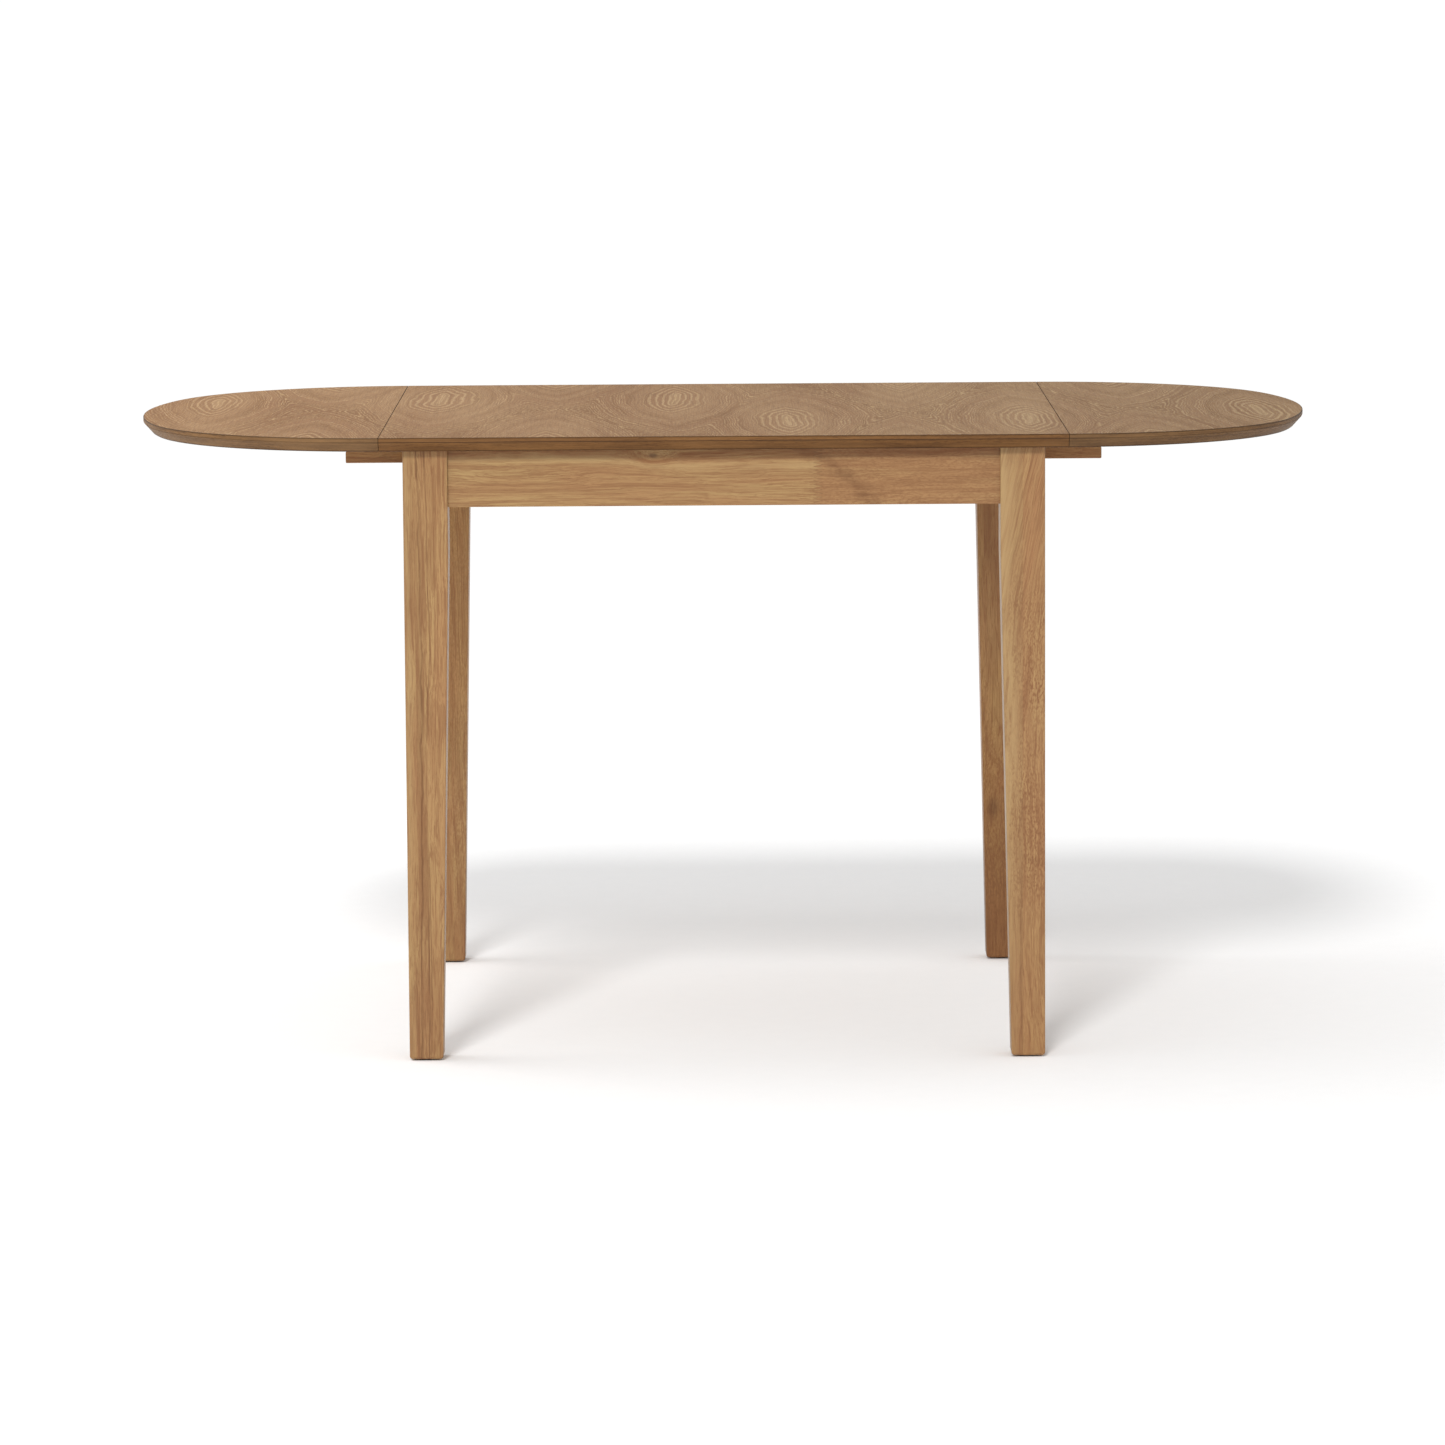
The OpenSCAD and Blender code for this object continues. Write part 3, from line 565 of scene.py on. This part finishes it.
hinge_steel = plated_steel("hinge_steel", srgb(196, 194, 186), srgb(150, 147, 138))
screw_steel = plated_steel("screw_steel", srgb(205, 198, 176), srgb(158, 150, 128), 2)
glide_plastic = moulded_plastic("glide_plastic", srgb(52, 47, 43), srgb(84, 78, 72))


# ---- meshes ----


def add_piece(name, bm, materials, node_names, angle=40):
    """Turns a bmesh into a piece that rides on its nodes' body and stands for them."""
    bmesh.ops.recalc_face_normals(bm, faces=bm.faces)
    mesh = bpy.data.meshes.new(name)
    bm.to_mesh(mesh)
    bm.free()
    for material in materials:
        mesh.materials.append(material)
    for polygon in mesh.polygons:
        polygon.use_smooth = True
    mesh.set_sharp_from_angle(angle=radians(angle))
    piece = bpy.data.objects.new(name, mesh)
    bpy.context.scene.collection.objects.link(piece)
    weigh = piece.modifiers.new("flat_faces", "WEIGHTED_NORMAL")
    weigh.keep_sharp = True
    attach(piece, body_of[node_names[0]])
    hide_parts(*node_names)
    return piece


def loft(bm, rings, bands=None, caps=(0, 0)):
    """Joins rings of the same number of points and closes both ends.

    bands and caps are the material indices of the strips between rings and of the two ends.
    """
    rows = [[bm.verts.new(point) for point in ring] for ring in rings]
    count = len(rows[0])
    for i, (row, following) in enumerate(zip(rows, rows[1:])):
        for j in range(count):
            k = (j + 1) % count
            face = bm.faces.new((row[j], row[k], following[k], following[j]))
            face.material_index = bands[i] if bands else 0
    bm.faces.new(reversed(rows[0])).material_index = caps[0]
    bm.faces.new(rows[-1]).material_index = caps[1]


def softened(bm, radius, segments=2, min_area=30 * MM * MM, min_length=3 * MM, leave=None):
    """Rounds a CAD mesh's convex edges between larger flat faces, save those that leave() picks."""
    bmesh.ops.remove_doubles(bm, verts=bm.verts, dist=1e-6)
    bmesh.ops.dissolve_limit(bm, angle_limit=radians(0.5), verts=bm.verts, edges=bm.edges)
    bmesh.ops.recalc_face_normals(bm, faces=bm.faces)
    edges = [
        edge
        for edge in bm.edges
        if len(edge.link_faces) == 2
        and edge.is_convex
        and edge.calc_face_angle(0.0) > radians(30)
        and edge.calc_length() > min_length
        and min(face.calc_area() for face in edge.link_faces) > min_area
        and not (leave and all(leave(vertex.co) for vertex in edge.verts))
    ]
    bmesh.ops.bevel(
        bm, geom=edges, offset=radius, offset_type="OFFSET", segments=segments, profile=0.5,
        affect="EDGES", clamp_overlap=True, miter_outer="ARC",
    )
    bmesh.ops.dissolve_degenerate(bm, dist=2e-6, edges=bm.edges)


def soften_node(node, material, radius, name=None, **options):
    bm = bmesh.new()
    bm.from_mesh(nodes[node].data)
    softened(bm, radius, **options)
    for face in bm.faces:
        face.material_index = 0
    return add_piece(name or node + "_wood", bm, [material], [node])


# ---- boards ----

# A leaf's plan has corners of radius CORNER_R, centred on the seam, and between them a larger
# round of radius TIP_R, centred on TIP_X
HALF_GAP = 0.0003
CORNER_R = 0.2865
CORNER_Y = HALF_WIDTH - CORNER_R
TIP_R = 0.651075
TIP_X = 0.050925

# Edge profile from the top face down, in mm: (in from the edge, in from the seam face, height)
EDGE_PROFILE = [
    (0.90, 0.08, 735.00),
    (0.42, 0.03, 734.87),
    (0.10, 0.00, 734.55),
    (0.00, 0.00, 734.10),
    (0.00, 0.00, 730.15),
    (0.42, 0.00, 729.80),
    (0.50, 0.00, 729.45),
    (0.35, 0.00, 729.10),
    (9.20, 0.00, 719.38),
    (9.75, 0.08, 718.70),
    (10.60, 0.30, 718.50),
]
ARC_STEPS = 44


def arc(centre_x, centre_y, radius, start, end, steps):
    return [
        (
            centre_x + radius * cos(start + (end - start) * i / steps),
            centre_y + radius * sin(start + (end - start) * i / steps),
        )
        for i in range(steps)
    ]


def leaf_outline(edge_in, seam_in):
    """Plan of the right leaf, anticlockwise from the front of the seam."""
    seam = SEAM_X + HALF_GAP
    meet = atan2(CORNER_Y, seam - TIP_X)
    corner, tip = CORNER_R - edge_in, TIP_R - edge_in
    points = arc(seam, -CORNER_Y, corner, -pi / 2, -meet, ARC_STEPS)
    points += arc(TIP_X, 0.0, tip, -meet, meet, ARC_STEPS)
    points += arc(seam, CORNER_Y, corner, meet, pi / 2, ARC_STEPS)
    points.append((seam, CORNER_Y + corner))
    return [(max(x, seam + seam_in), y) for x, y in points]


def centre_outline(edge_in, seam_in):
    x, y = SEAM_X - HALF_GAP - seam_in, HALF_WIDTH - edge_in
    return [(-x, -y), (x, -y), (x, y), (-x, y)]


def board(name, node, outline, sign=1):
    rings = []
    for edge_in, seam_in, z in EDGE_PROFILE:
        ring = [(sign * x, y, z * MM) for x, y in outline(edge_in * MM, seam_in * MM)]
        rings.append(ring if sign > 0 else ring[::-1])
    bm = bmesh.new()
    loft(bm, rings, bands=[1] * len(rings), caps=(0, 2))
    add_piece(name, bm, [top_face, edge_face, underside], [node], angle=50)


board("centre_board", "centre_top", centre_outline)
board("left_leaf_board", "left_leaf", leaf_outline, -1)
board("right_leaf_board", "right_leaf", leaf_outline)

# ---- legs ----

LEG_FOOT_Z = 0.0015
LEG_TAPER = 0.0125
ARRIS = 1.6 * MM


def rounded_rectangle(x0, x1, y0, y1, radius, steps=5):
    points = []
    for centre_x, centre_y, start in (
        (x1 - radius, y0 + radius, -pi / 2),
        (x1 - radius, y1 - radius, 0.0),
        (x0 + radius, y1 - radius, pi / 2),
        (x0 + radius, y0 + radius, pi),
    ):
        points += arc(centre_x, centre_y, radius, start, start + pi / 2, steps)
        end = start + pi / 2
        points.append((centre_x + radius * cos(end), centre_y + radius * sin(end)))
    return points


def leg(name, sign_x, sign_y):
    # (height, how far the foot's rounding draws the faces in), in mm
    levels = [(1.5, 3.4), (1.75, 2.3), (2.5, 1.2), (3.7, 0.4), (5.2, 0.0), (600, 0.0), (718.5, 0.0)]
    rings = []
    for z, inset in levels:
        z, inset = z * MM, inset * MM
        taper = max(0.0, LEG_TAPER * (LEG_TAPER_TOP - z) / (LEG_TAPER_TOP - LEG_FOOT_Z))
        ring = rounded_rectangle(
            LEG_X0 + taper + inset, LEG_X1 - inset, LEG_Y0 + taper + inset, LEG_Y1 - inset, ARRIS
        )
        ring = [(sign_x * x, sign_y * y, z) for x, y in ring]
        rings.append(ring if sign_x * sign_y > 0 else ring[::-1])
    bm = bmesh.new()
    loft(bm, rings)
    add_piece(name + "_wood", bm, [MATERIALS[name]], [name], angle=50)


for side, sign_x in (("left", -1), ("right", 1)):
    leg("front_" + side + "_leg", sign_x, -1)
    leg("rear_" + side + "_leg", sign_x, 1)

# ---- aprons, rails, blocks and bars ----

RAIL_SHOULDER_Y = 0.344

# The tenons, hidden in the legs and aprons, keep their sharp edges
for name in ("front_apron", "rear_apron"):
    soften_node(name, MATERIALS[name], 1.3 * MM, segments=3, leave=lambda co: abs(co.x) > LEG_X0 - MM)
for name in ("left_apron", "right_apron"):
    soften_node(name, MATERIALS[name], 1.3 * MM, segments=3, leave=lambda co: abs(co.y) > LEG_Y0 - MM)
for name in ("left_cross_rail", "right_cross_rail"):
    soften_node(name, MATERIALS[name], 1.0 * MM, leave=lambda co: abs(co.y) > RAIL_SHOULDER_Y)
for end in ("front", "rear"):
    for side in ("left", "right"):
        soften_node(f"{end}_{side}_corner_block", MATERIALS["block"], 1.2 * MM)
        soften_node(f"{side}_{end}_bar", MATERIALS["bar"], 1.3 * MM, segments=3)


# ---- turned pieces and fasteners ----


def in_mm(*profile):
    return [(radius * MM, height * MM) for radius, height in profile]


def lathe(bm, profile, place, steps=32, radius_at=None):
    """A solid of revolution about local Z from (radius, height) pairs, put in place by a matrix."""
    rings = []
    for radius, z in profile:
        ring = []
        for i in range(steps):
            angle = tau * i / steps
            r = radius_at(radius, angle, z) if radius_at else radius
            ring.append(place @ Vector((r * cos(angle), r * sin(angle), z)))
        rings.append(ring)
    loft(bm, rings)


def placed(origin, axis):
    """A matrix whose local +Z points along axis from origin."""
    turn = Vector((0, 0, 1)).rotation_difference(Vector(axis)).to_matrix().to_4x4()
    return Matrix.Translation(Vector(origin)) @ turn


RECESS_REACH, RECESS_HALF_WIDTH = 1.95 * MM, 0.48 * MM


def cross_ring(scale, z, circle=None):
    """24 points round a cross recess, or round a circle at the same angles."""
    corner = atan2(RECESS_HALF_WIDTH, RECESS_REACH)
    points = []
    for quarter in range(4):
        for angle in (0.0, corner, radians(29), radians(45), radians(61), pi / 2 - corner):
            if circle:
                r = circle
            elif angle <= corner:
                r = RECESS_REACH / cos(angle)
            elif angle >= pi / 2 - corner:
                r = RECESS_REACH / sin(angle)
            else:
                r = RECESS_HALF_WIDTH / min(sin(angle), cos(angle))
            turned = angle + quarter * pi / 2
            points.append(Vector((scale * r * cos(turned), scale * r * sin(turned), z)))
    return points


def add_screw(bm, origin, axis, length):
    """A countersunk wood screw with a cross recess; axis points from its head into the wood."""
    place = placed(origin, axis)
    recess = [(0.35, 1.9), (0.72, 1.0), (0.95, 0.12), (1.03, 0.02)]
    head = in_mm((3.42, 0.0), (3.55, 0.06), (3.55, 0.22), (1.75, 1.85))
    shank = [(1.75 * MM, length - 2 * MM), (0.4 * MM, length)]
    rings = [cross_ring(scale, depth * MM) for scale, depth in recess]
    rings += [cross_ring(1.0, depth, radius) for radius, depth in head + shank]
    loft(bm, [[place @ point for point in ring] for ring in rings])


def screws(name, node, places, length):
    bm = bmesh.new()
    for origin, axis in places:
        add_screw(bm, origin, axis, length)
    add_piece(name, bm, [screw_steel], [node], angle=35)


def quarters(points):
    """Copies (origin, axis) pairs from the +X +Y quarter to all four quarters."""
    return [
        ((sx * x, sy * y, z), (sx * a, sy * b, c))
        for sx in (-1, 1)
        for sy in (-1, 1)
        for (x, y, z), (a, b, c) in points
    ]


FLAP_T = 2 * MM
RAIL_X, RAIL_SCREW_Z = 0.232, 0.690
SHORT_SCREW, BLOCK_SCREW, RAIL_SCREW = 13 * MM, 20 * MM, 38 * MM
for side, sign in (("left", -1), ("right", 1)):
    for part, away in (("fixed", -1), ("leaf", 1)):
        places = [
            ((sign * (SEAM_X + away * dx * MM), y + dy * MM, UNDER_Z - FLAP_T), (0, 0, 1))
            for y in HINGE_YS
            for dx, dy in ((19, -25), (12, 0), (19, 25))
        ]
        screws(f"{side}_{part}_flap_screws", f"{side}_hinge_{part}_screws", places, SHORT_SCREW)
rail_lines = [
    ((sx * RAIL_X, y, RAIL_SCREW_Z), (0, 0, 1)) for sx in (-1, 1) for y in (-0.3, -0.1, 0.1, 0.3)
]
screws("rail_screws", "cross_rail_screws", rail_lines, RAIL_SCREW)
block_lines = [
    (spot + (z,), axis)
    for spot, axis in (((0.270, 0.337), (0, 1, 0)), ((0.340, 0.267), (1, 0, 0)))
    for z in (0.661, 0.677)
]
screws("block_screws", "corner_block_screws", quarters(block_lines), BLOCK_SCREW)

# ---- angle brackets ----

BRACKET_OFFSET = 0.110
APRON_BACK_X, APRON_BACK_Y = 0.348, 0.345
# (x, y, direction away from the apron in x, and in y) of each bracket's corner
BRACKETS = [
    (sx * BRACKET_OFFSET, sy * APRON_BACK_Y, 0.0, -sy) for sx in (-1, 1) for sy in (-1, 1)
] + [(sx * APRON_BACK_X, sy * BRACKET_OFFSET, -sx, 0.0) for sx in (-1, 1) for sy in (-1, 1)]
BRACKET_T = 2 * MM
BRACKET_SCREW_REACH = 13 * MM


def bracket(bm, x, y, out_x, out_y):
    """A bent strip: one limb down the apron's face, the other along the top's underside."""
    limb, width, bend, round_off, soft = 22 * MM, 18 * MM, 3 * MM, 3.5 * MM, 0.3 * MM
    across = Vector((-out_y, out_x, 0.0))
    out = Vector((out_x, out_y, 0.0))
    corner = Vector((x, y, UNDER_Z))
    # Rounded ends: (along from the end, cut off each side), in shares of the rounding
    trims = [(0.0, 1.0), (0.06, 0.62), (0.3, 0.3), (0.65, 0.08), (1.0, 0.0)]
    ends = [(round_off * along, round_off * cut) for along, cut in trims]
    stations = [(Vector((0, 0, -(limb - along))), out, cut) for along, cut in ends]
    bend_steps = 6
    for i in range(bend_steps + 1):
        turn = i / bend_steps * pi / 2
        outer = out * (bend - bend * cos(turn)) + Vector((0, 0, -(bend - bend * sin(turn))))
        inward = out * cos(turn) + Vector((0, 0, -sin(turn)))
        stations.append((outer, inward, 0.0))
    for along, cut in reversed(ends):
        stations.append((out * (limb - along), Vector((0, 0, -1)), cut))
    rings = []
    for spot, inward, cut in stations:
        half = width / 2 - cut
        section = [
            (-half + soft, 0.0), (half - soft, 0.0), (half, soft), (half, BRACKET_T - soft),
            (half - soft, BRACKET_T), (-half + soft, BRACKET_T), (-half, BRACKET_T - soft),
            (-half, soft),
        ]
        rings.append([corner + spot + across * side + inward * depth for side, depth in section])
    loft(bm, rings)


bm = bmesh.new()
for place in BRACKETS:
    bracket(bm, *place)
add_piece("angle_brackets", bm, [hinge_steel], ["top_brackets"], angle=35)

bracket_lines = []
for x, y, out_x, out_y in BRACKETS:
    reach = BRACKET_SCREW_REACH
    up = (x + reach * out_x, y + reach * out_y, UNDER_Z - BRACKET_T)
    sideways = (x + BRACKET_T * out_x, y + BRACKET_T * out_y, UNDER_Z - reach)
    bracket_lines += [(up, (0, 0, 1)), (sideways, (-out_x, -out_y, 0))]
screws("bracket_screws", "top_bracket_screws", bracket_lines, SHORT_SCREW)

# ---- hanger bolts with washers and nuts ----

BOLT_Z = 0.669
BOLT_R = 4 * MM
SHANK_R = 3.7 * MM
PITCH = 1.25 * MM
THREAD_DEPTH = 0.62 * MM
THREAD_STEPS = 6
BLOCK_FACE = 36 * MM / 2 ** 0.5
WASHER_T = 1.6 * MM
NUT_H = 6.5 * MM
NUT_CORNER_R = 7.5 * MM


def threaded(radius, angle, z):
    """Radius of a metric thread at this angle and height."""
    turn = (z / PITCH - angle / tau) % 1.0
    return radius - THREAD_DEPTH * abs(2 * turn - 1.0) if radius > SHANK_R else radius


def hexagonal(radius, angle, z):
    """A hexagon across its corners, with its corners turned down to the given circle."""
    flat = NUT_CORNER_R * cos(pi / 6) / cos((angle + pi / 6) % (pi / 3) - pi / 6)
    return min(flat, radius)


def at_bolts(name, node, profile, steps, angle=40, radius_at=None):
    """One turned piece on each hanger bolt's axis, which starts at the leg's inner corner."""
    bm = bmesh.new()
    for sx in (-1, 1):
        for sy in (-1, 1):
            corner = (sx * LEG_X0, sy * LEG_Y0, BOLT_Z)
            inward = (-sx * 0.5 ** 0.5, -sy * 0.5 ** 0.5, 0)
            lathe(bm, profile, placed(corner, inward), steps, radius_at)
    add_piece(name, bm, [screw_steel], [node], angle=angle)


bolt_end = BLOCK_FACE + WASHER_T + NUT_H + 4 * MM
thread_from = BLOCK_FACE - 2 * MM
rows = int((bolt_end - 0.7 * MM - thread_from) / (PITCH / THREAD_STEPS))
stud = in_mm((0.6, -38.0), (3.3, -34.0), (3.3, -2.0), (3.7, 0.0))
stud += [(SHANK_R, thread_from - 0.3 * MM)]
stud += [(BOLT_R, thread_from + i * PITCH / THREAD_STEPS) for i in range(rows)]
stud += [(3.3 * MM, bolt_end - 0.4 * MM), (2.9 * MM, bolt_end)]
at_bolts("hanger_bolt_studs", "hanger_bolts", stud, 28, 50, threaded)

washer = in_mm((8.7, 0.0), (9.0, 0.25), (9.0, 1.25), (8.65, 1.6), (4.3, 1.6))
at_bolts("bolt_washers", "hanger_washers", [(r, BLOCK_FACE + z) for r, z in washer], 40)

nut_from = BLOCK_FACE + WASHER_T
nut = in_mm((6.45, 0.0), (7.5, 0.6), (7.5, 5.9), (6.45, 6.5), (4.5, 6.5), (4.0, 6.0))
at_bolts("bolt_nuts", "hanger_nuts", [(r, nut_from + z) for r, z in nut], 48, 25, hexagonal)

# ---- stop dowels, hinges and glides ----

DOWEL_X = 0.343

for end, sign_y in (("front", -1), ("rear", 1)):
    for side, sign_x in (("left", -1), ("right", 1)):
        node = f"{side}_{end}_stop_dowel"
        bm = bmesh.new()
        profile = in_mm(
            (3.1, 688.0), (3.7, 688.35), (4.0, 689.1), (4.0, 708.0), (3.4, 708.9), (2.6, 709.0),
        )
        lathe(bm, profile, Matrix.Translation((sign_x * DOWEL_X, sign_y * BAR_Y, 0)), 36)
        add_piece(node + "_wood", bm, [MATERIALS["block"]], [node])

for side in ("left", "right"):
    for part in ("fixed", "leaf"):
        node = f"{side}_hinge_{part}_flaps"
        soften_node(
            node, hinge_steel, 0.35 * MM, node + "_steel", min_area=20 * MM * MM, min_length=6 * MM
        )

for side, sign in (("left", -1), ("right", 1)):
    bm = bmesh.new()
    for y in HINGE_YS:
        profile = in_mm(
            (1.5, -35.8), (2.3, -35.65), (2.75, -35.2), (2.8, -34.85), (2.0, -34.8), (2.0, 34.8),
            (2.8, 34.85), (2.75, 35.2), (2.3, 35.65), (1.5, 35.8),
        )
        lathe(bm, profile, placed((sign * SEAM_X, y, PIN_Z), (0, 1, 0)), 28)
    add_piece(f"{side}_hinge_rivets", bm, [screw_steel], [f"{side}_hinge_pins"])

glide = in_mm(
    (7.5, 0.0), (9.6, 0.12), (10.6, 0.5), (11.0, 1.05), (11.0, 1.5), (1.25, 1.5), (1.25, 14.0),
    (0.3, 16.0),
)
FOOT_X, FOOT_Y = 0.35325, 0.35025
bm = bmesh.new()
for sx in (-1, 1):
    for sy in (-1, 1):
        lathe(bm, glide, Matrix.Translation((sx * FOOT_X, sy * FOOT_Y, 0)), 48)
add_piece("nail_on_glides", bm, [glide_plastic], ["foot_glides"])


# ---- stage ----

floor_graph = Graph("studio_floor")
floor_tone = floor_graph.noise(floor_graph.place(), (40.0, 40.0, 40.0), 2.0)
floor_colour = floor_graph.mix(
    floor_graph.remap(floor_tone, 0.3, 0.7), (0.955, 0.955, 0.955), (0.965, 0.965, 0.965)
)
floor_material = floor_graph.finish(floor_colour, 0.9, Specular_IOR_Level=0.0)
# The floor is clear from below, so that the table's underside can be looked at
from_below = floor_graph.tree.nodes.new("ShaderNodeNewGeometry").outputs["Backfacing"]
floor_graph.link(floor_graph.maths("SUBTRACT", 1.0, from_below), floor_graph.shader.inputs["Alpha"])
FLOOR_REACH = 200
bm = bmesh.new()
bmesh.ops.create_grid(bm, x_segments=1, y_segments=1, size=FLOOR_REACH)
floor_mesh = bpy.data.meshes.new("studio_floor")
bm.to_mesh(floor_mesh)
bm.free()
floor_mesh.materials.append(floor_material)
floor = bpy.data.objects.new("studio_floor", floor_mesh)
floor.location.z = -0.1 * MM
bpy.context.scene.collection.objects.link(floor)

world = bpy.data.worlds.new("studio")
world.use_nodes = True
background = world.node_tree.nodes["Background"]
background.inputs["Color"].default_value = (1, 1, 1, 1)
background.inputs["Strength"].default_value = 0.72
bpy.context.scene.world = world


def area_light(name, place, target, size, power):
    light = bpy.data.lights.new(name, "AREA")
    light.shape = "RECTANGLE"
    light.size, light.size_y = size
    light.energy = power
    lamp = bpy.data.objects.new(name, light)
    lamp.location = place
    lamp.rotation_euler = (Vector(target) - Vector(place)).to_track_quat("-Z", "Y").to_euler()
    bpy.context.scene.collection.objects.link(lamp)


area_light(
    "left_softbox", place=(-1.9, 0.2, 2.3), target=(-0.6, 0.0, 0.70), size=(1.4, 1.4), power=16,
)

SUN_DIRECTION = (0.22, 1.0, -0.80)
sun = bpy.data.lights.new("key", "SUN")
sun.energy = 1.75
sun.angle = radians(13)
key = bpy.data.objects.new("key", sun)
key.rotation_euler = Vector(SUN_DIRECTION).to_track_quat("-Z", "Y").to_euler()
bpy.context.scene.collection.objects.link(key)

# The camera at the photo's viewing angle: its place in metres, its turns in radians and its lens
CAMERA_PLACE = (-0.0149, -7.9996, 1.3872)
yaw, pitch, roll = 0.0015, 0.1289, -0.0064
camera_data = bpy.data.cameras.new("camera")
camera_data.sensor_width = 36.0
camera_data.lens = 164.35
camera_data.clip_end = 500.0
camera = bpy.data.objects.new("camera", camera_data)
forward = Vector((sin(yaw) * cos(pitch), cos(yaw) * cos(pitch), -sin(pitch)))
level = Vector((cos(yaw), -sin(yaw), 0.0))
upward = level.cross(forward)
right = cos(roll) * level + sin(roll) * upward
up = cos(roll) * upward - sin(roll) * level
turn = Matrix((right, up, -forward)).transposed().to_4x4()
camera.matrix_world = Matrix.Translation(CAMERA_PLACE) @ turn
bpy.context.scene.collection.objects.link(camera)
bpy.context.scene.camera = camera
bpy.context.scene.view_settings.view_transform = "Standard"
bpy.context.scene.view_settings.look = "None"
